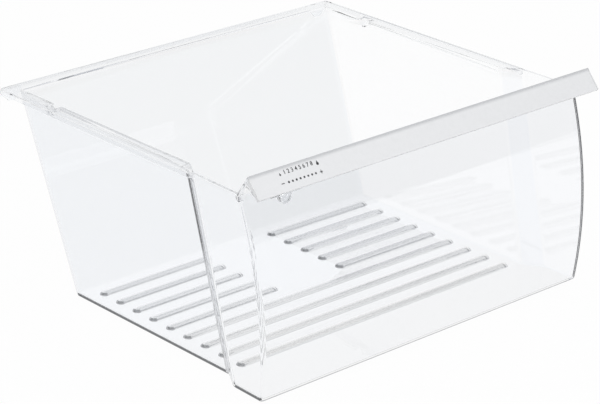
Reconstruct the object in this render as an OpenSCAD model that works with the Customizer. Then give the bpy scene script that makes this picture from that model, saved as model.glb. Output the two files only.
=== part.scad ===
// Clear fridge crisper drawer: a moulded pan with a pull lip across its front,
// a white trim strip on the lip and a small humidity slide behind it.
// X runs across the drawer, -Y is its front and Z is up. The origin lies under
// the middle of the drawer, on the surface that it stands on.

/* [Overall] */
// Width of the handle, the widest part of the drawer
handle_w = 410; // [390:1:430]
// Depth from the edge of the pull lip to the rear edge of the rim
drawer_d = 371.5; // [350:0.5:395]
// Height of the side and back walls
side_h = 187.5; // [160:0.5:215]

/* [Walls] */
// Thickness of the walls
wall = 2.4; // [1.8:0.1:3]
// Thickness of the floor
floor_t = 2.6; // [2:0.1:3.5]
// How far each side wall leans in, from the rim to the floor
side_draft = 7.6; // [4:0.1:10]
// How far the back wall leans in, from the rim to its foot
back_lean = 68.6; // [50:0.2:80]
// How far the foot of the front panel stands out in front of its top
front_lean = 18.6; // [12:0.2:26]
// How far the front panel bows out at mid height
front_bow = 12.5; // [8:0.5:16]
// Radius of the edge between the floor and the walls
foot_r = 2.6; // [2:0.1:4]
// Length that each upright corner of the walls is eased over
corner_ease = 4; // [3.2:0.2:6]

/* [Side shoulders] */
// How far each side steps out at its shoulder, at the rim
shoulder_out = 11.1; // [8:0.1:14]
// Depth of the wide front part at the rim
pocket_top_d = 64.4; // [55:0.2:75]
// Depth of the wide front part at the floor
pocket_foot_d = 38; // [32:0.5:46]
// Length of the slanted shoulder at the rim, along the drawer
shoulder_top_d = 20; // [16:0.5:24]
// Length of the slanted shoulder at the floor, along the drawer
shoulder_foot_d = 21; // [16:0.5:26]
// Length that the shoulder's two bends are eased over, on each side of the bend
shoulder_ease = 3; // [2:0.5:6]
// How far each side spreads from its shoulder to the front panel, at the rim
front_flare = 1.7; // [0:0.1:3]

/* [Rim] */
// Width of the rim behind the back wall
rim_rear_w = 13.1; // [8:0.1:18]
// How far the rim stands out over the wide front part, on each side
rim_band = 1; // [0.6:0.1:1.6]
// Thickness of the flat rim
rim_t = 2.2; // [1.6:0.1:3]
// Thickness of the rim's turned down edge
skirt_t = 1.8; // [1.2:0.1:2.4]
// Height of the rim's turned down edge
skirt_h = 5; // [4:0.1:8]
// Radius of the half round rests in the side rims
rest_r = 6; // [4.5:0.1:7.5]
// Length of each half round rest, outwards from inside the wall
rest_l = 7.4; // [6:0.1:8]
// Distance of the rests in front of the back wall's top
rest_setback = 58; // [45:0.1:75]
// Depth of the stop tabs under the rear corners of the rim
tab_h = 14; // [9:0.5:18]
// Width of each rear stop tab along the rim
tab_w = 26; // [18:0.5:34]

/* [Floor ribs] */
// Number of rows of ribs on the floor
rib_rows = 9; // [5:1:11]
// Number of rear rows that are split in the middle
split_rows = 5; // [0:1:5]
// Width of a rib at its foot
rib_w = 10; // [9:0.2:11]
// Height of a rib
rib_h = 3.4; // [3:0.1:3.8]
// Width of the hollow under a rib
hollow_w = 7.4; // [6.6:0.1:7.8]
// Height of the hollow under a rib
hollow_h = 3; // [2.4:0.1:3.2]
// Width of the gap in the middle of a split row
rib_gap = 75.2; // [50:0.2:100]
// Distance from the ends of the ribs to the outside of the side walls' foot
rib_side = 15.8; // [12:0.2:30]
// Distance from the first row to the outside of the back wall's foot
rib_rear = 19.2; // [14:0.2:30]
// Distance from the last row to the start of the shoulders at the floor
rib_front = 5.6; // [3:0.2:20]

/* [Handle] */
// How far each end of the handle stands out past the sides of the front panel
handle_over = 2; // [1:0.1:4]
// Height of the handle's crest above the rim
crest_rise = 20.8; // [16:0.2:26]
// Distance of the crest in front of the front panel's top
crest_reach = 13.3; // [9:0.1:17]
// Height of the lip's edge below the crest
lip_drop = 17; // [13:0.2:20]
// Distance of the lip's edge in front of the crest
lip_reach = 14.3; // [11:0.1:18]
// Thickness of the lip with its trim strip
lip_t = 3.2; // [2.8:0.1:3.6]
// Thickness of the trim strip
trim_t = 1.2; // [1:0.1:1.4]
// Clear edge that the trim leaves free below the crest
trim_free = 1.6; // [0.4:0.1:3]
// Clear edge that the trim leaves free at each end of the handle
trim_end = 1.2; // [0.4:0.1:2]

/* [Humidity slide] */
// Width of the slide's shutter
slide_w = 32; // [29:1:40]
// Thickness of the slide
slide_t = 2; // [1.6:0.1:2.4]
// Travel of the slide from the closed end to the open end
slide_travel = 47; // [42:1:52]
// Distance of the slide's middle from the handle's left end, when closed
slide_place = 32; // [30:0.5:45]
// Width of the finger tab
finger_w = 12.6; // [10:0.2:18]
// Thickness of the finger tab
finger_t = 4.5; // [3:0.1:6]
// Length of the finger tab below the edge of the lip
finger_h = 11.6; // [10.5:0.1:16]
// Running gap between the slide and what guides it
slide_gap = 0.35; // [0.2:0.05:0.5]
// Number of vent slots that the shutter covers
vents = 4; // [2:1:4]
// Width of a vent slot
vent_w = 3.4; // [2:0.1:3.6]
// Distance from one vent slot to the next
vent_pitch = 7; // [5:0.1:7.2]
// Height of a vent slot
vent_h = 8; // [5:0.1:8.5]

/* [Hidden] */

// Overrun of a cut past the face that it opens
over = 1;
// Depth that a fitted rib or shell sinks into the wall that carries it
root = 0.4;
// Points in a quarter of the foot's rounding, and facets of small rounds
foot_steps = 4;
round_fn = 32;
// Levels of the walls from the foot's rounding to the rim, and points of an eased corner
wall_steps = 18;
ease_steps = 4;
// Rim corners are eased less than the walls' corners, and no corner is sharper than the least one
rim_ease = 2;
least_ease = 0.5;
// Inside radius between the floor and the walls
foot_in_r = foot_r - wall / 2;

crest_z = side_h + crest_rise;
rear_y = drawer_d / 2;
lip_y = -drawer_d / 2;
lip_z = crest_z - lip_drop;
crest_y = lip_y + lip_reach;
panel_top_y = crest_y + crest_reach;
panel_foot_y = panel_top_y - front_lean;
back_top_y = rear_y - rim_rear_w;
back_foot_y = back_top_y - back_lean;
panel_half = handle_w / 2 - handle_over;
b_half = panel_half - front_flare;
rear_half = b_half - shoulder_out;
rim_half = b_half + rim_band;

// The shoulders run from a, on the narrow rear part, to b, on the wide front part
b_top_y = panel_top_y + pocket_top_d;
b_foot_y = panel_foot_y + pocket_foot_d;
a_top_y = b_top_y + shoulder_top_d;
a_foot_y = b_foot_y + shoulder_foot_d;

function mix(from, to, share) = from + (to - from) * share;
function unit(v) = v / norm(v);
function turned(v) = [-v[1], v[0]];
function flipped(list) = [for (i = [len(list) - 1 : -1 : 0]) list[i]];
function mirrored(list) = [for (p = flipped(list)) [-p[0], p[1]]];

// The front panel's outer face at height z: a lean with a bow on it
function front_y(z) = mix(panel_foot_y, panel_top_y, z / side_h)
    - front_bow * 4 * (z / side_h) * (1 - z / side_h);

// Half width outside the wide front part, where each side is one flat plane
function front_half(y, z) = panel_half - front_flare * (y - panel_top_y) / pocket_top_d
    - side_draft * (1 - z / side_h);

// The eight corners of the walls' outside at height z, counter-clockwise from the front right
function right_corners(z) =
    let (b_y = mix(b_foot_y, b_top_y, z / side_h), narrow = rear_half - side_draft * (1 - z / side_h))
        [
            [front_half(front_y(z), z), front_y(z)],
            [front_half(b_y, z), b_y],
            [narrow, mix(a_foot_y, a_top_y, z / side_h)],
            [narrow, mix(back_foot_y, back_top_y, z / side_h)]
        ];
function corners(z) = concat(right_corners(z), mirrored(right_corners(z)));
right_eases = [corner_ease, shoulder_ease, shoulder_ease, corner_ease];
eases = concat(right_eases, flipped(right_eases));

// The rim's outer edge
right_rim = [[rim_half, b_top_y], [rim_half, rear_y]];
rim_corners = concat(right_rim, mirrored(right_rim));

// Directions along a closed outline into and away from its corner i
function into(pts, i) = unit(pts[i] - pts[(i + len(pts) - 1) % len(pts)]);
function away(pts, i) = unit(pts[(i + 1) % len(pts)] - pts[i]);

// A closed outline moved inwards by d, with mitred corners
function inset(pts, d) = [
    for (i = [0 : len(pts) - 1])
        pts[i] + d * turned(into(pts, i) + away(pts, i)) / (1 + into(pts, i) * away(pts, i))
];

// The ease that a corner keeps at depth d: less where the outline bulges out, more where it turns in
function ease_at(pts, i, ease, d) =
    let (turn = (into(pts, i) * -turned(away(pts, i))) / (1 + into(pts, i) * away(pts, i)))
        max(ease - d * turn, least_ease);

// A closed outline with each corner eased by a curve that starts and ends at its ease from the corner
function eased(pts, cuts) = [
    for (i = [0 : len(pts) - 1])
        let (from = pts[i] - cuts[i] * into(pts, i), to = pts[i] + cuts[i] * away(pts, i))
            for (k = [0 : ease_steps])
                mix(mix(from, pts[i], k / ease_steps), mix(pts[i], to, k / ease_steps), k / ease_steps)
];

function at_height(pts, z) = [for (p = pts) [p[0], p[1], z]];
function wall_outline(z, d) = eased(inset(corners(z), d),
    [for (i = [0 : len(eases) - 1]) ease_at(corners(z), i, eases[i], d)]);
function wall_ring(z, d) = at_height(wall_outline(z, d), z);

// Height and inset of the rounded edge of radius r at the foot, for an angle a from flat to upright
function foot_z(r, a) = r * (1 - cos(a));
function foot_inset(r, a) = r * (1 - sin(a));

foot_angles = [for (k = [0 : foot_steps]) 90 * k / foot_steps];
outer_levels = [for (k = [1 : wall_steps]) mix(foot_r, side_h, k / wall_steps)];
inner_levels = [for (k = [1 : wall_steps]) mix(floor_t + foot_in_r, side_h, k / wall_steps)];

outer_rings = concat(
    [for (a = foot_angles) wall_ring(foot_z(foot_r, a), foot_inset(foot_r, a))],
    [for (z = outer_levels) wall_ring(z, 0)]
);
inner_rings = concat(
    [for (a = foot_angles) wall_ring(floor_t + foot_z(foot_in_r, a), wall + foot_inset(foot_in_r, a))],
    [for (z = inner_levels) wall_ring(z, wall)]
);

// A closed skin through a list of rings that all have as many points
module skin(rings) {
    n = len(rings[0]);
    last = len(rings) - 1;
    points = [for (r = rings) for (p = r) p];
    walls = [
        for (k = [0 : last - 1])
            for (i = [0 : n - 1])
                let (j = (i + 1) % n)
                    for (face = [[k * n + i, (k + 1) * n + i, (k + 1) * n + j],
                                 [k * n + i, (k + 1) * n + j, k * n + j]])
                        face
    ];
    polyhedron(points, concat([[for (i = [0 : n - 1]) i]], walls,
        [[for (i = [n - 1 : -1 : 0]) last * n + i]]));
}

// Stands a flat drawing of (y, z) points across the drawer, from x = from to x = to
module across(from, to) {
    translate([from, 0, 0]) rotate([90, 0, 90]) linear_extrude(to - from) children();
}

// Floor and walls: up the outside and down the inside in one skin
module bowl() {
    skin(concat(outer_rings, flipped(inner_rings)));
}

// The flat rim with its edge turned down. It ends at the shoulders.
module rim() {
    outline = eased(rim_corners, [for (p = rim_corners) rim_ease]);
    inside = rim_half - skirt_t;
    translate([0, 0, side_h - rim_t]) linear_extrude(rim_t) difference() {
        polygon(outline);
        polygon(wall_outline(side_h, wall));
        translate([-handle_w / 2, b_top_y - over]) square([handle_w, over]);
    }
    translate([0, 0, side_h - skirt_h]) linear_extrude(skirt_h) difference() {
        polygon(outline);
        translate([-inside, b_top_y - over]) square([2 * inside, rear_y - skirt_t - b_top_y + over]);
    }
}

// A tapered stop tab under each rear corner of the rim
module rear_tabs() {
    slope = tab_h - skirt_h;
    for (side = [-1, 1])
        translate([0, rear_y, side_h]) rotate([90, 0, 0]) linear_extrude(skirt_t) polygon([
            [side * (rim_half - root), -rim_t],
            [side * (rim_half - root), -skirt_h],
            [side * (rim_half - root - slope), -tab_h],
            [side * (rim_half - tab_w + slope), -tab_h],
            [side * (rim_half - tab_w), -skirt_h],
            [side * (rim_half - tab_w), -rim_t]
        ]);
}

// Half round rests in the side rims: a shell under the rim and the hollow that it holds
rest_y = back_top_y - rest_setback;
rest_x = rear_half - wall;
module rest_shells() {
    for (side = [-1, 1])
        intersection() {
            translate([side * (rest_x + wall + (rest_l - wall + skirt_t) / 2 - root / 2), rest_y, side_h])
                rotate([0, 90, 0])
                    cylinder(r = rest_r + skirt_t, h = rest_l - wall + skirt_t + root, center = true,
                             $fn = round_fn);
            translate([-handle_w / 2, rest_y - 2 * rest_r, side_h - 2 * rest_r])
                cube([handle_w, 4 * rest_r, 2 * rest_r]);
        }
}
module rest_hollows() {
    for (side = [-1, 1])
        translate([side * (rest_x + (rest_l - wall) / 2), rest_y, side_h])
            rotate([0, 90, 0]) cylinder(r = rest_r, h = rest_l + wall, center = true, $fn = round_fn);
}

// A round bar along X with domed ends, w wide and h high, that starts a depth foot below height 0
bar_steps = 6;
function bar_arc(w, h, start) =
    let (r = (w * w / 4 + h * h) / (2 * h), last = asin(w / 2 / r))
        [for (k = [0 : bar_steps])
            let (a = last * mix(start, 1, k / bar_steps)) [r * sin(a), h - r * (1 - cos(a))]];
module bar(from, to, w, h, foot) {
    across(from, to) polygon(concat([[w / 2, -foot], [-w / 2, -foot]], bar_arc(w, h, -1)));
    for (x = [from, to])
        translate([x, 0, 0]) rotate_extrude($fn = round_fn)
            polygon(concat([[w / 2, -foot], [0, -foot]], bar_arc(w, h, 0)));
}

// All rows of bars, each bar between the centres of its round ends. The rear rows are split.
rib_end = rear_half - side_draft - rib_side - rib_w / 2;
rib_start = (rib_gap + rib_w) / 2;
rib_pitch = (back_foot_y - rib_rear - a_foot_y - rib_front) / (rib_rows - 1);
module bar_rows(w, h, foot) {
    for (row = [0 : rib_rows - 1])
        translate([0, back_foot_y - rib_rear - row * rib_pitch, 0])
            if (row < split_rows) {
                bar(-rib_end, -rib_start, w, h, foot);
                bar(rib_start, rib_end, w, h, foot);
            } else {
                bar(-rib_end, rib_end, w, h, foot);
            }
}

// The handle's section in (y, z). Its back line runs up the inside of the front panel,
// over the crest and down the front of the lip.
fold_z = side_h - rim_t / 2;
hem_z = side_h - skirt_h;
crest = [crest_y, crest_z];
fold = [panel_top_y + wall, fold_z];
hem = [front_y(hem_z) + wall, hem_z];
lip = [lip_y, lip_z];
lip_l = norm(lip - crest);
panel_l = norm(fold - crest);
panel_dir = unit(fold - crest);
lip_dir = unit(lip - crest);
panel_in = -turned(panel_dir);
lip_in = turned(lip_dir);
function on_panel(along, deep) = crest + along * panel_dir + deep * panel_in;
function on_lip(along, deep) = crest + along * lip_dir + deep * lip_in;
// Where a line at depth deep in the panel meets a line at depth under in the lip
bend_sin = panel_dir[0] * lip_dir[1] - panel_dir[1] * lip_dir[0];
function bend(deep, under) =
    let (gap = on_lip(0, under) - on_panel(0, deep))
        on_panel((gap[0] * lip_dir[1] - gap[1] * lip_dir[0]) / bend_sin, deep);

module handle_section() {
    polygon([
        hem, fold, crest, lip, on_lip(lip_l, lip_t), bend(wall, lip_t),
        [panel_top_y, fold_z], [front_y(hem_z), hem_z]
    ]);
}
module trim_section() {
    polygon([
        on_lip(trim_free, 0), on_lip(lip_l, 0), on_lip(lip_l, lip_t), on_lip(lip_l - trim_t, lip_t),
        on_lip(lip_l - trim_t, trim_t), on_lip(trim_free, trim_t)
    ]);
}

// The seat that the trim is let into, open past the lip's front and its lower edge
module trim_seat() {
    polygon([
        on_lip(trim_free, -over), on_lip(lip_l + over, -over), on_lip(lip_l + over, lip_t + over),
        on_lip(lip_l - trim_t, lip_t + over), on_lip(lip_l - trim_t, trim_t), on_lip(trim_free, trim_t)
    ]);
}

// The slide hangs in the handle like a saddle and stands on a track on the front panel
slide_x = -handle_w / 2 + slide_place;
foot_l = panel_l - skirt_t - slide_t - 2 * slide_gap;
track_l = foot_l + slide_gap;
slide_deep = wall + slide_gap;
slide_under = lip_t + slide_gap;
track_deep = slide_deep + slide_t + slide_gap;
track_h = slide_t;
module track_section() {
    polygon([
        on_panel(track_l, wall - root), on_panel(track_l, track_deep),
        on_panel(track_l - track_h, track_deep), on_panel(track_l - track_h, track_deep + skirt_t),
        on_panel(track_l + skirt_t, track_deep + skirt_t), on_panel(track_l + skirt_t, wall - root)
    ]);
}
module stop_section() {
    polygon([
        on_panel(track_l - track_h, wall - root), on_panel(track_l - track_h, track_deep + root),
        on_panel(track_l + root, track_deep + root), on_panel(track_l + root, wall - root)
    ]);
}
module slide_track() {
    left = slide_x - slide_w / 2 - slide_gap;
    right = slide_x + slide_w / 2 + slide_travel + slide_gap;
    across(left - skirt_t, right + skirt_t) track_section();
    across(left - skirt_t, left) stop_section();
    across(right, right + skirt_t) stop_section();
}

// Vent slots through the panel, all covered by the shutter when it is closed
vent_low = on_panel(foot_l - slide_t, 0)[1];
module vent_slots() {
    for (k = [0 : vents - 1])
        translate([slide_x + (k - (vents - 1) / 2) * vent_pitch, panel_top_y + wall + over, vent_low])
            rotate([90, 0, 0]) linear_extrude(crest_reach + wall + over) {
                translate([-vent_w / 2, vent_w / 2]) square([vent_w, vent_h - vent_w]);
                for (z = [vent_w / 2, vent_h - vent_w / 2])
                    translate([0, z]) circle(d = vent_w, $fn = round_fn);
            }
}

module pan() {
    color([0.9, 0.93, 0.96, 0.5]) difference() {
        union() {
            bowl();
            rim();
            rear_tabs();
            rest_shells();
            translate([0, 0, floor_t]) bar_rows(rib_w, rib_h, root);
            across(-handle_w / 2, handle_w / 2) handle_section();
            slide_track();
        }
        bar_rows(hollow_w, hollow_h, over);
        rest_hollows();
        vent_slots();
        across(-handle_w / 2 + trim_end, handle_w / 2 - trim_end) trim_seat();
    }
}

module handle_trim() {
    color([0.9, 0.91, 0.92]) across(-handle_w / 2 + trim_end, handle_w / 2 - trim_end) trim_section();
}

module humidity_slide() {
    tab_front = on_lip(lip_l, slide_under);
    tab_round_z = lip_z - finger_h + finger_w / 2;
    tab_rise = tab_front[1] - tab_round_z;
    color([0.85, 0.9, 0.94, 0.7]) {
        across(slide_x - slide_w / 2, slide_x + slide_w / 2) polygon([
            on_panel(foot_l, slide_deep), bend(slide_deep, slide_under), on_lip(lip_l, slide_under),
            on_lip(lip_l, slide_under + slide_t), bend(slide_deep + slide_t, slide_under + slide_t),
            on_panel(foot_l, slide_deep + slide_t)
        ]);
        translate([slide_x, tab_front[0] + root + finger_t, tab_round_z]) rotate([90, 0, 0])
            linear_extrude(finger_t) {
                intersection() {
                    circle(d = finger_w, $fn = 2 * round_fn);
                    translate([-finger_w / 2, -finger_w / 2]) square([finger_w, finger_w / 2 + tab_rise]);
                }
                translate([-finger_w / 2, 0]) square([finger_w, tab_rise]);
            }
    }
}

pan();
handle_trim();
humidity_slide();
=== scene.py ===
# %% [markdown]
# # A clear crisper drawer
# This lesson dresses a clear plastic fridge drawer. Its solids are already built
# at their real size, so the work here is light, clear plastic, the pale trim
# strip on the pull lip and the small print on it. Every length is in metres.

# %% Load the frame
from math import pi, radians

import bpy
import bmesh
from mathutils import Matrix, Vector
from mathutils.geometry import delaunay_2d_cdt


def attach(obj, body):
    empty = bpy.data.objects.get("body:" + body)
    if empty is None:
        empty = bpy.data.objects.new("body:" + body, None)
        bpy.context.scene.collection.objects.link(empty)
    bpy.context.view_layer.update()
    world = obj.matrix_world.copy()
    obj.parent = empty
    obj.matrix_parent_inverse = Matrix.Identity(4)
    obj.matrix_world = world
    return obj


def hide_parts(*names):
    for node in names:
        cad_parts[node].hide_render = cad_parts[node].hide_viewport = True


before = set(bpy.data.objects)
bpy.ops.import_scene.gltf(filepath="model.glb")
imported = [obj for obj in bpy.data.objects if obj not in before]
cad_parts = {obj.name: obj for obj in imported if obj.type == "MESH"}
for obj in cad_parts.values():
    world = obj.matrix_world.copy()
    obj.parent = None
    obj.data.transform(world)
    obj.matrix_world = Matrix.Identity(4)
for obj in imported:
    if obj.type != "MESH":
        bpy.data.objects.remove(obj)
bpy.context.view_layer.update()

# %% [markdown]
# ## Camera
# The drawer is seen from its front left, from a little above, through a long
# lens from far away: its upright edges hardly converge. The camera is turned
# about Z, then tipped up from looking straight down, and last rolled a little
# about its own axis.

# %% Camera
eye = Vector((-1.4094, -1.5980, 0.9560))
view_turn = radians(-41.486)
view_drop = radians(22.413)
view_roll = radians(0.13)

camera_data = bpy.data.cameras.new("camera")
camera_data.lens = 147.7
camera_data.sensor_width = 36
camera_data.clip_end = 100
camera = bpy.data.objects.new("camera", camera_data)
camera.matrix_world = (
    Matrix.Translation(eye)
    @ Matrix.Rotation(view_turn, 4, "Z")
    @ Matrix.Rotation(pi / 2 - view_drop, 4, "X")
    @ Matrix.Rotation(view_roll, 4, "Z")
)
bpy.context.scene.collection.objects.link(camera)
bpy.context.scene.camera = camera
print("camera", [round(v, 3) for v in camera.location], "lens", camera_data.lens)

# %% [markdown]
# ## Node helpers
# A material is a small graph. Two helpers keep the cells short: one adds a node
# and sets its plain inputs, the other joins an output to an input.

# %% Node helpers
def new_material(name):
    material = bpy.data.materials.new(name)
    material.use_nodes = True
    material.node_tree.nodes.clear()
    return material


def add_node(tree, kind, **inputs):
    node = tree.nodes.new(kind)
    for name, value in inputs.items():
        node.inputs[name.replace("_", " ")].default_value = value
    return node


def shaded_surface(material, **inputs):
    tree = material.node_tree
    surface = add_node(tree, "ShaderNodeBsdfPrincipled", **inputs)
    output = add_node(tree, "ShaderNodeOutputMaterial")
    tree.links.new(surface.outputs["BSDF"], output.inputs["Surface"])
    return surface, output


# %% [markdown]
# ## World and floor
# The studio is white all round. What the camera sees behind the drawer, also
# through the plastic or mirrored in it, is plain white. The light that falls on
# the drawer is set apart from it, at a level where colours render as written.

# %% Rays that show the background
def shows_background(tree):
    """One for rays from the camera, and for rays that a mirror or clear plastic sends on."""
    rays = add_node(tree, "ShaderNodeLightPath")
    total = rays.outputs["Is Camera Ray"]
    for kind in ("Is Glossy Ray", "Is Transmission Ray"):
        either = add_node(tree, "ShaderNodeMath")
        either.operation = "MAXIMUM"
        tree.links.new(total, either.inputs[0])
        tree.links.new(rays.outputs[kind], either.inputs[1])
        total = either.outputs[0]
    return total


# %% World
world = bpy.data.worlds.new("studio")
bpy.context.scene.world = world
world.use_nodes = True
tree = world.node_tree
tree.nodes.clear()
soft_light = add_node(tree, "ShaderNodeBackground", Color=(1, 1, 1, 1), Strength=0.62)
white_view = add_node(tree, "ShaderNodeBackground", Color=(1, 1, 1, 1), Strength=1.0)
choice = add_node(tree, "ShaderNodeMixShader")
room = add_node(tree, "ShaderNodeBackground", Color=(1, 1, 1, 1))
direction = add_node(tree, "ShaderNodeTexCoord")
towards_sweep = add_node(tree, "ShaderNodeVectorMath")
towards_sweep.operation = "DOT_PRODUCT"
towards_sweep.inputs[1].default_value = (0.66, 0.75, 0.0)
tree.links.new(direction.outputs["Generated"], towards_sweep.inputs[0])
brightness = add_node(tree, "ShaderNodeMapRange", From_Min=-0.15, From_Max=0.15, To_Min=0.1, To_Max=1.0)
tree.links.new(towards_sweep.outputs["Value"], brightness.inputs["Value"])
tree.links.new(brightness.outputs["Result"], room.inputs["Strength"])
mirrored = add_node(tree, "ShaderNodeMixShader")
tree.links.new(shows_background(tree), mirrored.inputs["Fac"])
tree.links.new(soft_light.outputs[0], mirrored.inputs[1])
tree.links.new(room.outputs[0], mirrored.inputs[2])
rays = add_node(tree, "ShaderNodeLightPath")
tree.links.new(rays.outputs["Is Camera Ray"], choice.inputs["Fac"])
tree.links.new(mirrored.outputs[0], choice.inputs[1])
tree.links.new(white_view.outputs[0], choice.inputs[2])
output = add_node(tree, "ShaderNodeOutputWorld")
tree.links.new(choice.outputs[0], output.inputs["Surface"])
bpy.context.scene.view_settings.view_transform = "Standard"
print("world nodes:", len(tree.nodes))

# %% [markdown]
# The floor is white paper. Where it shows it is mostly plain white, and a share
# of it stays ordinary paper, which keeps the drawer's faint shadow.

# %% Floor
bpy.ops.object.select_all(action="DESELECT")
bpy.ops.mesh.primitive_plane_add(size=12, location=(0, 0, -0.0005))
floor = bpy.context.object
floor.name = "floor"
floor_paper = new_material("floor_paper")
tree = floor_paper.node_tree
paper, output = shaded_surface(floor_paper, Base_Color=(0.92, 0.92, 0.92, 1), Roughness=0.9)
white = add_node(tree, "ShaderNodeEmission", Color=(1, 1, 1, 1), Strength=1.0)
share = add_node(tree, "ShaderNodeMath")
share.operation = "MULTIPLY"
share.inputs[1].default_value = 0.97
tree.links.new(shows_background(tree), share.inputs[0])
choice = add_node(tree, "ShaderNodeMixShader")
tree.links.new(share.outputs[0], choice.inputs["Fac"])
tree.links.new(paper.outputs[0], choice.inputs[1])
tree.links.new(white.outputs[0], choice.inputs[2])
tree.links.new(choice.outputs[0], output.inputs["Surface"])
floor.data.materials.append(floor_paper)
print("floor size", floor.dimensions[:2])

# %% [markdown]
# One big soft lamp hangs above and in front of the drawer, on the camera's side.
# It keeps the front of the pull strip a shade brighter than its rounded crest.

# %% Lamps
def soft_lamp(name, place, target, size, power):
    data = bpy.data.lights.new(name, "AREA")
    data.shape = "SQUARE"
    data.size = size
    data.energy = power
    lamp = bpy.data.objects.new(name, data)
    lamp.location = place
    lamp.rotation_euler = (Vector(target) - Vector(place)).to_track_quat("-Z", "Y").to_euler()
    lamp.visible_glossy = False
    lamp.visible_transmission = False
    bpy.context.scene.collection.objects.link(lamp)
    return lamp


soft_lamp("front_lamp", (-0.9, -2.1, 1.9), (0, 0, 0.1), 1.4, 27)

# %% [markdown]
# ## Moulded surface
# Moulded plastic is never quite even. It has a very faint waviness from the
# mould, and use leaves a haze of fine rubs. Both are one node group, so that the
# clear pan, the clear slide and the white strip share the effect, each with its
# own amounts. It reads Object coordinates, so the pattern stays on the part.

# %% Moulded surface group
moulded = bpy.data.node_groups.new("moulded_surface", "ShaderNodeTree")
for socket, default in (("Waves", 12.0), ("Rubs", 160.0), ("Least Roughness", 0.02), ("Most Roughness", 0.06)):
    moulded.interface.new_socket(socket, in_out="INPUT", socket_type="NodeSocketFloat").default_value = default
for socket in ("Height", "Roughness", "Rubbed"):
    moulded.interface.new_socket(socket, in_out="OUTPUT", socket_type="NodeSocketFloat")
inside = add_node(moulded, "NodeGroupInput")
outside = add_node(moulded, "NodeGroupOutput")
place = add_node(moulded, "ShaderNodeTexCoord")
waves = add_node(moulded, "ShaderNodeTexNoise", Detail=1.0)
rubs = add_node(moulded, "ShaderNodeTexNoise", Detail=4.0, Roughness=0.65, Distortion=0.4)
rub_share = add_node(moulded, "ShaderNodeMapRange", From_Min=0.45, From_Max=0.75)
for texture, scale in ((waves, "Waves"), (rubs, "Rubs")):
    moulded.links.new(place.outputs["Object"], texture.inputs["Vector"])
    moulded.links.new(inside.outputs[scale], texture.inputs["Scale"])
moulded.links.new(rubs.outputs["Fac"], rub_share.inputs["Value"])
rub_level = add_node(moulded, "ShaderNodeMapRange")
moulded.links.new(rub_share.outputs["Result"], rub_level.inputs["Value"])
moulded.links.new(inside.outputs["Least Roughness"], rub_level.inputs["To Min"])
moulded.links.new(inside.outputs["Most Roughness"], rub_level.inputs["To Max"])
moulded.links.new(waves.outputs["Fac"], outside.inputs["Height"])
moulded.links.new(rub_level.outputs["Result"], outside.inputs["Roughness"])
moulded.links.new(rub_share.outputs["Result"], outside.inputs["Rubbed"])
print("group inputs:", [i.name for i in moulded.interface.items_tree if i.in_out == "INPUT"])


def add_moulded(tree, **inputs):
    node = tree.nodes.new("ShaderNodeGroup")
    node.node_tree = moulded
    for name, value in inputs.items():
        node.inputs[name.replace("_", " ")].default_value = value
    return node


def add_bump(tree, height, surface, strength, distance):
    bump = add_node(tree, "ShaderNodeBump", Strength=strength, Distance=distance)
    tree.links.new(height, bump.inputs["Height"])
    tree.links.new(bump.outputs["Normal"], surface.inputs["Normal"])
    return bump


# %% [markdown]
# ## Clear plastic
# The pan is clear polystyrene. Seen through a flat wall it only takes a little
# light and leaves a faint cool tint. Where a face turns away from the eye the
# light runs a long way inside it, so it darkens there, which draws the corners
# and edges. A small share of the light goes straight through, because light that
# bounces inside a thin edge comes out again further along, and a shader that
# stops counting bounces would show that edge black. Shadow rays pass, or the
# drawer would stand in a shadow as deep as that of a cardboard box.

# %% Clear plastic
passing = (0.985, 0.988, 0.993, 1)
escaping = (0.88, 0.885, 0.895, 1)


def colour_along(tree, colour, axis, start, end, far_colour):
    spot = add_node(tree, "ShaderNodeTexCoord")
    split = add_node(tree, "ShaderNodeSeparateXYZ")
    tree.links.new(spot.outputs["Object"], split.inputs[0])
    reach = add_node(tree, "ShaderNodeMapRange", From_Min=start, From_Max=end)
    tree.links.new(split.outputs[axis], reach.inputs["Value"])
    blend = add_node(tree, "ShaderNodeMix")
    blend.data_type = "RGBA"
    blend.inputs["A"].default_value = (*colour, 1)
    blend.inputs["B"].default_value = (*far_colour, 1)
    tree.links.new(reach.outputs["Result"], blend.inputs["Factor"])
    return blend


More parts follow.
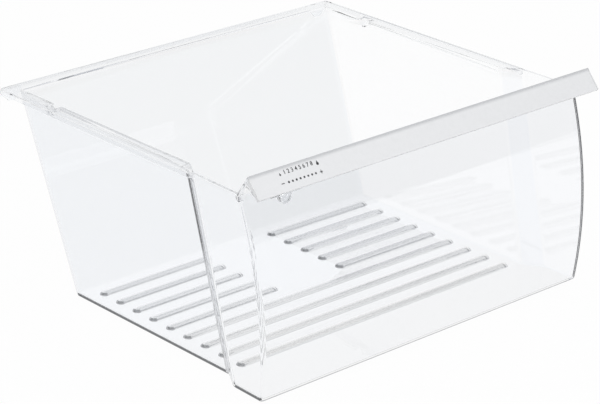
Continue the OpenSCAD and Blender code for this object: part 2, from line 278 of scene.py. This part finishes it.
def clear_plastic(name, tint, edge, straight, rough, dark_from=0.68, bounces=6.5, along=None, gloss=0.5):
    material = new_material(name)
    tree = material.node_tree
    surface, output = shaded_surface(material, Transmission_Weight=1.0, IOR=1.5, Specular_IOR_Level=gloss)
    skin = add_moulded(tree, Waves=14.0, Rubs=90.0, Least_Roughness=rough, Most_Roughness=rough + 0.03)
    tree.links.new(skin.outputs["Roughness"], surface.inputs["Roughness"])
    facing = add_node(tree, "ShaderNodeLayerWeight", Blend=0.5)
    darker = add_node(tree, "ShaderNodeMapRange", From_Min=dark_from, From_Max=1.0)
    tree.links.new(facing.outputs["Facing"], darker.inputs["Value"])
    colour = add_node(tree, "ShaderNodeMix")
    colour.data_type = "RGBA"
    colour.inputs["A"].default_value = (*tint, 1)
    colour.inputs["B"].default_value = (*edge, 1)
    if along:
        tree.links.new(colour_along(tree, tint, *along).outputs["Result"], colour.inputs["A"])
    tree.links.new(darker.outputs["Result"], colour.inputs["Factor"])
    tree.links.new(colour.outputs["Result"], surface.inputs["Base Color"])
    rays = add_node(tree, "ShaderNodeLightPath")
    caught = add_node(tree, "ShaderNodeMath")
    caught.operation = "GREATER_THAN"
    caught.inputs[1].default_value = bounces
    tree.links.new(rays.outputs["Ray Depth"], caught.inputs[0])
    let_out = add_node(tree, "ShaderNodeMath")
    let_out.operation = "MAXIMUM"
    tree.links.new(rays.outputs["Is Shadow Ray"], let_out.inputs[0])
    tree.links.new(caught.outputs[0], let_out.inputs[1])
    share = add_node(tree, "ShaderNodeMapRange", To_Min=straight, To_Max=1.0)
    tree.links.new(let_out.outputs[0], share.inputs["Value"])
    light_left = add_node(tree, "ShaderNodeMix")
    light_left.name = "light_left"
    light_left.data_type = "RGBA"
    light_left.inputs["A"].default_value = passing
    light_left.inputs["B"].default_value = escaping
    tree.links.new(caught.outputs[0], light_left.inputs["Factor"])
    let_through = add_node(tree, "ShaderNodeBsdfTransparent")
    tree.links.new(light_left.outputs["Result"], let_through.inputs["Color"])
    choice = add_node(tree, "ShaderNodeMixShader")
    tree.links.new(share.outputs["Result"], choice.inputs["Fac"])
    tree.links.new(surface.outputs[0], choice.inputs[1])
    tree.links.new(let_through.outputs[0], choice.inputs[2])
    tree.links.new(choice.outputs[0], output.inputs["Surface"])
    return material


edge_grey = (0.5, 0.53, 0.58)
pan_plastic = clear_plastic("pan_plastic", (0.968, 0.976, 0.99), edge_grey, 0.0, 0.01, bounces=4.5)
# Painted shade: the left wall's colour turns near black from 4.6 mm down to 3.8 mm, a dark line along its foot.
left_wall_painted_foot = clear_plastic("left_wall_painted_foot", (0.968, 0.976, 0.99), edge_grey, 0.0, 0.01, bounces=4.5, along=("Z", 0.0046, 0.0038, (0.012, 0.013, 0.015)))
# Painted light: the right wall takes an almost untinted colour, brighter than the rest of the pan.
painted_bright_wall = clear_plastic("painted_bright_wall", (0.995, 0.996, 0.999), edge_grey, 0.0, 0.01, bounces=4.5)
# Painted light: the back wall takes a lighter, cooler tint than the rest of the pan, and a weaker gloss.
back_wall_painted_light = clear_plastic("back_wall_painted_light", (0.975, 0.987, 1.0), edge_grey, 0.0, 0.01, bounces=4.5, gloss=0.2)
# Painted shade and light: the rim is painted greyer, with darker edges, and lighter again towards its right end.
rim_painted_shading = clear_plastic("rim_painted_shading", (0.95, 0.957, 0.967), (0.45, 0.47, 0.5), 0.0, 0.01, dark_from=0.55, bounces=5.5, along=("X", 0.1, 0.16, (0.985, 0.99, 0.995)))
# Painted light: turned faces at the back left and on the jog's outer part get lighter edges and let light out sooner.
painted_light_edge = clear_plastic("painted_light_edge", (0.97, 0.975, 0.985), (0.8, 0.82, 0.85), 0.0, 0.01, bounces=2.5)
# Painted shade: the jog's faces are painted grey, turning near black from 85 mm up to 120 mm high.
jog_painted_shade = clear_plastic("jog_painted_shade", (0.7, 0.71, 0.73), (0.2, 0.2, 0.22), 0.0, 0.01, dark_from=0.3, along=("Z", 0.085, 0.12, (0.02, 0.021, 0.024)))
# Painted shade: the rounded foot of the left wall is painted near black.
foot_painted_shade = clear_plastic("foot_painted_shade", (0.012, 0.013, 0.015), (0.01, 0.01, 0.012), 0.0, 0.01, gloss=0.0)
# Painted shade: the rounded front foot is painted dark grey.
front_painted_shade = clear_plastic("front_painted_shade", (0.3, 0.31, 0.33), edge_grey, 0.0, 0.01)
underside_painted_shade = clear_plastic("underside_painted_shade", (0.968, 0.976, 0.99), edge_grey, 1.0, 0.01)
tree = underside_painted_shade.node_tree
# Painted shade: the light let through the bottom face grows darker and more yellow from the middle forwards, over 140
# mm.
painted_front_shade = colour_along(tree, (0.975, 0.98, 0.988), "Y", 0.0, -0.14, (0.95, 0.945, 0.935))
light_left = next(n for n in tree.nodes if n.name == "light_left")
tree.links.new(painted_front_shade.outputs["Result"], light_left.inputs["A"])
# Painted shade: the turned faces at the right front corner are painted near black.
painted_dark_edge = clear_plastic("painted_dark_edge", (0.02, 0.021, 0.024), (0.01, 0.01, 0.012), 0.0, 0.01, dark_from=0.3, gloss=0.1)
# Painted shade: the rib tops are painted grey, darker and browner towards the front rows.
rib_top_painted_shade = clear_plastic("rib_top_painted_shade", (0.9, 0.903, 0.91), edge_grey, 0.0, 0.01, along=("Y", 0.02, -0.12, (0.87, 0.86, 0.84)))
# Painted shade: the ribs' front and back faces are painted darker grey, drawing a line along each rib.
rib_side_painted_shade = clear_plastic("rib_side_painted_shade", (0.7, 0.71, 0.72), (0.35, 0.36, 0.4), 0.0, 0.01)
# Painted shade: the ribs' ends are painted near black.
rib_end = clear_plastic("rib_end", (0.14, 0.145, 0.155), (0.08, 0.085, 0.09), 0.0, 0.01)
slide_plastic = clear_plastic("slide_plastic", (0.96, 0.97, 0.985), edge_grey, 0.15, 0.01)
print("clear plastics:", [m.name for m in bpy.data.materials])

# %% [markdown]
# ## White strip
# The strip on the lip is satin white. Its colour is nearly even: a faint mottle,
# and a greyer band along the rounded crest, which is painted shade.

# %% White strip
trim_white = new_material("trim_white")
tree = trim_white.node_tree
surface, output = shaded_surface(trim_white)
skin = add_moulded(tree, Waves=60.0, Rubs=220.0, Least_Roughness=0.32, Most_Roughness=0.42)
tree.links.new(skin.outputs["Roughness"], surface.inputs["Roughness"])
add_bump(tree, skin.outputs["Height"], surface, 0.04, 0.0002)
spot = add_node(tree, "ShaderNodeTexCoord")
split = add_node(tree, "ShaderNodeSeparateXYZ")
tree.links.new(spot.outputs["Object"], split.inputs[0])
# Painted shade: above this height, along its rounded crest, the strip's colour turns grey.
below_crest = add_node(tree, "ShaderNodeMapRange", From_Min=0.2048, From_Max=0.2083)
below_crest.interpolation_type = "SMOOTHSTEP"
tree.links.new(split.outputs["Z"], below_crest.inputs["Value"])
mottle = add_node(tree, "ShaderNodeMix")
mottle.data_type = "RGBA"
mottle.inputs["A"].default_value = (0.845, 0.853, 0.87, 1)
mottle.inputs["B"].default_value = (0.82, 0.83, 0.845, 1)
tree.links.new(skin.outputs["Rubbed"], mottle.inputs["Factor"])
painted_crest_shade = add_node(tree, "ShaderNodeMix")
painted_crest_shade.data_type = "RGBA"
painted_crest_shade.inputs["B"].default_value = (0.58, 0.59, 0.61, 1)
tree.links.new(below_crest.outputs["Result"], painted_crest_shade.inputs["Factor"])
tree.links.new(mottle.outputs["Result"], painted_crest_shade.inputs["A"])
tree.links.new(painted_crest_shade.outputs["Result"], surface.inputs["Base Color"])
print("strip nodes:", len(tree.nodes))

# %% [markdown]
# ## Clear pan
# The pan comes as loose flat triangles. Clear plastic bends light at every facet,
# so a copy of it is joined up, shaded smoothly and shown in its place. Smooth
# shading alone would bend the flat faces beside each rounded edge, so a Weighted
# Normal modifier lets the big flat faces keep their own direction.

# %% Clear pan
def on_flat(piece, face, height):
    return all(abs(piece.data.vertices[i].co.z - height) < 0.00002 for i in face.vertices)


def is_solid(centre, sides):
    crossed = 0
    for a, b in sides:
        if (a.y > centre.y) != (b.y > centre.y) and a.x + (centre.y - a.y) / (b.y - a.y) * (b.x - a.x) > centre.x:
            crossed += 1
    return crossed % 2 == 1


def fill_flat_again(piece, height, up):
    bpy.ops.object.mode_set(mode="EDIT")
    bpy.ops.mesh.select_mode(type="FACE")
    bpy.ops.mesh.select_all(action="DESELECT")
    bpy.ops.object.mode_set(mode="OBJECT")
    for face in piece.data.polygons:
        face.select = on_flat(piece, face, height)
    bpy.ops.object.mode_set(mode="EDIT")
    bpy.ops.mesh.delete(type="ONLY_FACE")
    bpy.ops.mesh.select_all(action="DESELECT")
    bpy.ops.object.mode_set(mode="OBJECT")
    mesh = piece.data
    used = {}
    for face in mesh.polygons:
        for key in face.edge_keys:
            used[key] = used.get(key, 0) + 1
    rims = [key for key, times in used.items() if times == 1]
    corners = sorted({i for key in rims for i in key})
    spot = {i: k for k, i in enumerate(corners)}
    flat = delaunay_2d_cdt([mesh.vertices[i].co.xy for i in corners], [(spot[a], spot[b]) for a, b in rims], [], 1, 0.0000001)
    sides = [(mesh.vertices[a].co.xy, mesh.vertices[b].co.xy) for a, b in rims]
    filled = [face for face in flat[2] if is_solid(sum((flat[0][i] for i in face), Vector((0, 0))) / 3, sides)]
    shell = bmesh.new()
    shell.from_mesh(mesh)
    shell.verts.ensure_lookup_table()
    loose = [edge for edge in shell.edges if not edge.link_faces]
    for edge in loose:
        shell.edges.remove(edge)
    for a, b, c in filled:
        points = [shell.verts[corners[flat[3][i][0]]] for i in (a, b, c)]
        face = shell.faces.new(points)
        face.normal_update()
        if (face.normal.z > 0) != up:
            face.normal_flip()
    print("flat at", height, "rim edges", len(rims), "faces", len(filled), "new points", len(flat[0]) - len(corners), "open edges", sum(len(e.link_faces) != 2 for e in shell.edges))
    shell.to_mesh(mesh)
    shell.free()


def smooth_copy(node, name, angle, flats=()):
    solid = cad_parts[node]
    piece = solid.copy()
    piece.data = solid.data.copy()
    piece.name = name
    bpy.context.scene.collection.objects.link(piece)
    bpy.ops.object.select_all(action="DESELECT")
    bpy.context.view_layer.objects.active = piece
    piece.select_set(True)
    bpy.ops.object.mode_set(mode="EDIT")
    bpy.ops.mesh.select_all(action="SELECT")
    bpy.ops.mesh.remove_doubles(threshold=0.000005)
    bpy.ops.object.mode_set(mode="OBJECT")
    for height, up in flats:
        fill_flat_again(piece, height, up)
    bpy.ops.object.shade_smooth_by_angle(angle=angle)
    even = piece.modifiers.new("even", "WEIGHTED_NORMAL")
    even.weight = 100
    even.keep_sharp = True
    bpy.ops.object.modifier_apply(modifier=even.name)
    print(name, "points:", len(solid.data.vertices), "->", len(piece.data.vertices))
    return piece


clear_pan = smooth_copy("pan", "clear_pan", radians(28), flats=((0.0026, True), (0.0, False)))
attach(clear_pan, "drawer")
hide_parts("pan")

# %% [markdown]
# Most faces take the plain clear plastic. Some places get a mix of it with light
# or shade painted into its colour: a painted brighter right wall, a painted lighter
# and cooler back wall, a rim painted greyer and painted lighter towards its right
# end, painted lighter edges at the back left and on the jog, painted dark lines on
# the jog, the feet and the right front corner, a painted darker, warm-tinted front
# on the bottom face, and ribs painted grey with darker sides and near-black ends.
# The faces are told apart by their place.

# %% Plastic by place
plastics = (pan_plastic, left_wall_painted_foot, rim_painted_shading, painted_bright_wall, back_wall_painted_light, underside_painted_shade, painted_light_edge, jog_painted_shade, foot_painted_shade, front_painted_shade, painted_dark_edge, rib_top_painted_shade, rib_side_painted_shade, rib_end, trim_white)
WALL, LEFT, RIM, BRIGHT, BACK, UNDER, SOFT, JOG, FOOT, FRONT, DARK, RIB_TOP, RIB_LINE, RIB_END, STRIP = range(len(plastics))
rim_low = 0.1822
floor_top = 0.0026
rib_area = (0.171, -0.119, 0.092)
rib_round = (0.0426, 0.1618)
split_from = -0.026
lip_half = 0.205


# Each face gets its mix by place and facing; apart from the plain wall, the strip and most of the left wall, these
# mixes paint light or shade.
def plastic_at(place, normal):
    x, y, z = place
    if y < -0.1700 and z > 0.19:
        on_front = normal.y * -0.766 + normal.z * 0.644 > 0.9
        if on_front or abs(x) > lip_half - 0.0001:
            return STRIP
    if z > rim_low:
        return RIM
    if z < 0.00001:
        return UNDER
    if abs(x) < rib_area[0] and rib_area[1] < y < rib_area[2] and z < 0.0065:
        if abs(z - floor_top) < 0.00002:
            return WALL
        left_end = x < -rib_round[1] or (y > split_from and 0 < x < rib_round[0])
        right_end = x > rib_round[1] or (y > split_from and -rib_round[0] < x < 0)
        if left_end and z > floor_top and normal.z < 0.8:
            return RIB_END
        if right_end and z > floor_top and normal.x > 0.3:
            return RIB_END
        return RIB_LINE if abs(normal.y) > 0.7 else RIB_TOP
    turned = min(abs(normal.x), abs(normal.y)) > 0.12
    if x > 0.19 and y < -0.14 and z > 0.004 and min(abs(normal.x), abs(normal.y)) > 0.05:
        return DARK
    if x < -0.17 and y > 0.08 and turned:
        return SOFT
    if z < floor_top and y < -0.12 and normal.z < -0.12 and normal.y < -0.3:
        return FRONT
    if x < -0.15 and z < floor_top and normal.x < -0.3 and normal.z < -0.12:
        return FOOT
    if x < -0.17 and -0.14 < y < -0.065 and 0.04 < abs(normal.y) < 0.3 and abs(normal.x) > 0.85:
        return JOG if x > -0.189 - 0.036 * z else SOFT
    if y > 0.09 and abs(normal.y) > 0.6:
        return BACK
    if x > 0.15 and abs(normal.x) > 0.9:
        return BRIGHT
    if x < -0.15 and normal.x < -0.8:
        return LEFT
    return WALL


clear_pan.data.materials.clear()
for plastic in plastics:
    clear_pan.data.materials.append(plastic)
counts = [0] * len(plastics)
for face in clear_pan.data.polygons:
    face.material_index = plastic_at(face.center, face.normal)
    counts[face.material_index] += 1
print("faces:", {plastic.name: count for plastic, count in zip(plastics, counts)})

# %% Clear slide
clear_slide = smooth_copy("humidity_slide", "clear_slide", radians(28))
clear_slide.data.materials.clear()
clear_slide.data.materials.append(slide_plastic)
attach(clear_slide, "slide")
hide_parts("humidity_slide")

# %% [markdown]
# ## Pull strip
# The white strip wraps the lip's front and its lower edge. Its long edges are
# rounded a little, as moulded edges are, so that they catch a soft line of light.

# %% Pull strip
pull_strip = smooth_copy("handle_trim", "pull_strip", radians(28))
pull_strip.data.materials.clear()
pull_strip.data.materials.append(trim_white)
bpy.ops.object.select_all(action="DESELECT")
bpy.context.view_layer.objects.active = pull_strip
pull_strip.select_set(True)
round_edges = pull_strip.modifiers.new("round_edges", "BEVEL")
round_edges.width = 0.0003
round_edges.segments = 3
round_edges.limit_method = "ANGLE"
bpy.ops.object.modifier_apply(modifier=round_edges.name)
bpy.ops.object.shade_smooth_by_angle(angle=radians(40))
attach(pull_strip, "drawer")
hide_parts("handle_trim")
print("strip faces:", len(pull_strip.data.polygons))

# %% [markdown]
# ## Printed scale
# A dark scale is printed over the slide: a row of dots that shrink from left to
# right, a minus and a plus at its ends, and a row of numbers with a small and a
# large drop. Each mark is a thin flat mesh that lies on the strip.

# %% Place on the strip
crest = Vector((0, -0.17145, 0.2083))
lip_edge = Vector((0, -0.18575, 0.1913))
down_strip = (lip_edge - crest).normalized()
off_strip = Vector((1, 0, 0)).cross(-down_strip)
ink_lift = 0.00004


def lay_on_strip(piece, x, below_crest):
    """Puts a flat piece, drawn about its own origin in XY, on the strip and applies its place."""
    piece.matrix_world = Matrix.Translation(
        Vector((x, 0, 0)) + crest + down_strip * below_crest + off_strip * ink_lift
    ) @ Matrix((
        (1, -down_strip.x, off_strip.x, 0),
        (0, -down_strip.y, off_strip.y, 0),
        (0, -down_strip.z, off_strip.z, 0),
        (0, 0, 0, 1),
    ))
    bpy.context.view_layer.update()
    bpy.ops.object.select_all(action="DESELECT")
    bpy.context.view_layer.objects.active = piece
    piece.select_set(True)
    bpy.ops.object.transform_apply(location=True, rotation=True, scale=True)


print("strip faces", [round(v, 3) for v in off_strip])

# %% Ink
ink = new_material("scale_ink")
tree = ink.node_tree
surface, output = shaded_surface(ink)
skin = add_moulded(tree, Waves=300.0, Rubs=900.0, Least_Roughness=0.4, Most_Roughness=0.6)
tree.links.new(skin.outputs["Roughness"], surface.inputs["Roughness"])
worn = add_node(tree, "ShaderNodeMix")
worn.data_type = "RGBA"
worn.inputs["A"].default_value = (0.035, 0.036, 0.04, 1)
worn.inputs["B"].default_value = (0.09, 0.092, 0.1, 1)
tree.links.new(skin.outputs["Rubbed"], worn.inputs["Factor"])
tree.links.new(worn.outputs["Result"], surface.inputs["Base Color"])

# %% Dots and signs
marks = []


def add_dot(radius, x, below_crest, segments=20):
    bpy.ops.object.select_all(action="DESELECT")
    bpy.ops.mesh.primitive_circle_add(vertices=segments, radius=radius, fill_type="NGON")
    dot = bpy.context.object
    lay_on_strip(dot, x, below_crest)
    marks.append(dot)


dot_count = 8
for k in range(dot_count):
    share = k / (dot_count - 1)
    add_dot(0.00105 - 0.0001 * share, -0.1685 + 0.0298 * share, 0.0148)


def add_bar(width, height, x, below_crest):
    bpy.ops.object.select_all(action="DESELECT")
    bpy.ops.mesh.primitive_plane_add(size=1)
    bar = bpy.context.object
    bar.scale = (width, height, 1)
    bpy.ops.object.transform_apply(location=False, rotation=False, scale=True)
    lay_on_strip(bar, x, below_crest)
    marks.append(bar)


add_bar(0.0034, 0.0007, -0.1748, 0.0147)
add_bar(0.0034, 0.0007, -0.1326, 0.0149)
add_bar(0.0007, 0.0034, -0.1326, 0.0149)
print("dots and signs:", len(marks))

# %% Numbers
def add_number(text, size, x, below_crest):
    bpy.ops.object.select_all(action="DESELECT")
    bpy.ops.object.text_add()
    letters = bpy.context.object
    letters.data.body = text
    letters.data.size = size
    letters.data.align_x = "CENTER"
    letters.data.align_y = "CENTER"
    letters.data.offset = 0.0001
    letters.data.resolution_u = 3
    bpy.ops.object.convert(target="MESH")
    letters = bpy.context.object
    lay_on_strip(letters, x, below_crest)
    marks.append(letters)


for k in range(dot_count):
    add_number(str(k + 1), 0.0052, -0.1685 + 0.0298 * k / (dot_count - 1), 0.0057)


# %% [markdown]
# A drop is a circle whose top point is pulled up.

# %% Drops
def add_drop(radius, x, below_crest):
    bpy.ops.object.select_all(action="DESELECT")
    bpy.ops.mesh.primitive_circle_add(vertices=24, radius=radius, fill_type="NGON")
    drop = bpy.context.object
    for point in drop.data.vertices:
        if point.co.y > 0:
            rise = point.co.y / radius
            point.co.x *= 1 - 0.75 * rise ** 1.4
            point.co.y += radius * 1.1 * rise ** 2
    lay_on_strip(drop, x, below_crest)
    marks.append(drop)


add_drop(0.0009, -0.1737, 0.0069)
add_drop(0.0014, -0.1327, 0.0072)

# %% Join the scale
bpy.ops.object.select_all(action="DESELECT")
for mark in marks:
    mark.select_set(True)
bpy.context.view_layer.objects.active = marks[0]
bpy.ops.object.join()
scale_print = bpy.context.object
scale_print.name = "scale_print"
scale_print.data.materials.clear()
scale_print.data.materials.append(ink)
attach(scale_print, "drawer")
print("scale faces:", len(scale_print.data.polygons))
